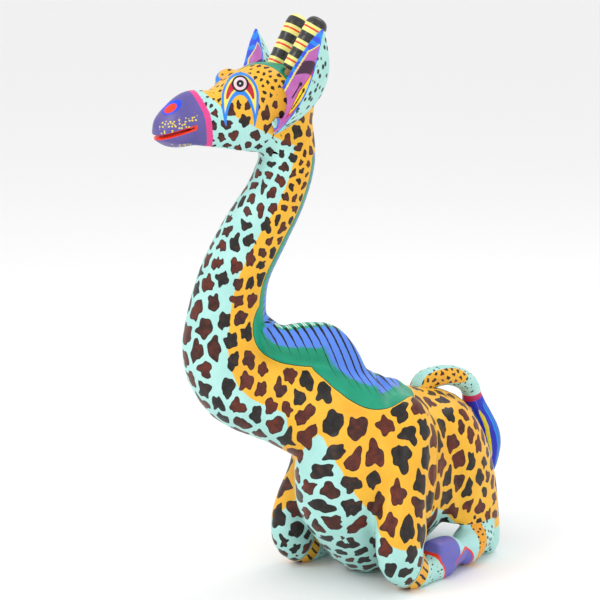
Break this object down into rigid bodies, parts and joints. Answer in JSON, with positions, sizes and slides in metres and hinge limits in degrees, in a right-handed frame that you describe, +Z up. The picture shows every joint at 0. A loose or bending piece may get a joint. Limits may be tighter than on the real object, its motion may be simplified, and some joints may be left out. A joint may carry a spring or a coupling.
{
  "type": "carved wooden giraffe figure",
  "caption": "Resting giraffe carved in wood with an S-curved neck and turned head, painted all over with spots; ears, horns and tail push into sockets.",
  "frame": {"origin": "under the middle of the overall box, on the surface the figure rests on", "axes": "+Z up, -Y the way the body faces, +X the animal's left"},
  "size_m": [0.2054, 0.3557, 0.5217],
  "materials": {
    "painted_coat": "hand-painted acrylic over sanded wood, satin",
    "shin_paint": "hand-painted acrylic over sanded wood, satin",
    "ear_paint": "hand-painted acrylic over sanded wood, satin",
    "horn_bands": "hand-painted acrylic over sanded wood, satin",
    "tuft_paint": "hand-painted acrylic over sanded wood, satin",
    "bare_dowel": "bare turned wood"
  },
  "bodies": {
    "statue": {"torso_core": "painted_coat", "left_shoulder": "painted_coat", "right_shoulder": "painted_coat", "left_haunch": "painted_coat", "right_haunch": "painted_coat", "neck_lower": "painted_coat", "neck_upper": "painted_coat", "head": "painted_coat", "left_fore_shin": "shin_paint", "right_fore_shin": "shin_paint", "left_hind_shin": "shin_paint", "right_hind_shin": "shin_paint", "shoulder_dowel": "bare_dowel", "haunch_dowel": "bare_dowel", "neck_base_dowel": "bare_dowel", "neck_middle_dowel": "bare_dowel", "head_dowel": "bare_dowel", "left_fore_dowel": "bare_dowel", "right_fore_dowel": "bare_dowel", "left_hind_dowel": "bare_dowel", "right_hind_dowel": "bare_dowel"},
    "left_ear_piece": {"left_ear": "ear_paint"},
    "right_ear_piece": {"right_ear": "ear_paint"},
    "left_horn_piece": {"left_horn": "horn_bands"},
    "right_horn_piece": {"right_horn": "horn_bands"},
    "tail_piece": {"tail": "painted_coat", "tail_tuft": "tuft_paint", "tuft_dowel": "bare_dowel"}
  },
  "joints": [
    {"name": "left_ear_pull", "type": "slide", "parent": "statue", "child": "left_ear_piece", "axis": [0.8309, -0.3641, 0.4208], "range_m": [0, 0.03]},
    {"name": "right_ear_pull", "type": "slide", "parent": "statue", "child": "right_ear_piece", "axis": [-0.7307, 0.5376, 0.4208], "range_m": [0, 0.03]},
    {"name": "left_horn_pull", "type": "slide", "parent": "statue", "child": "left_horn_piece", "axis": [0.332, 0.4008, 0.8539], "range_m": [0, 0.03]},
    {"name": "right_horn_pull", "type": "slide", "parent": "statue", "child": "right_horn_piece", "axis": [0.1811, 0.4879, 0.8539], "range_m": [0, 0.03]},
    {"name": "tail_pull", "type": "slide", "parent": "statue", "child": "tail_piece", "axis": [0, 0, 1], "range_m": [0, 0.05]}
  ]
}
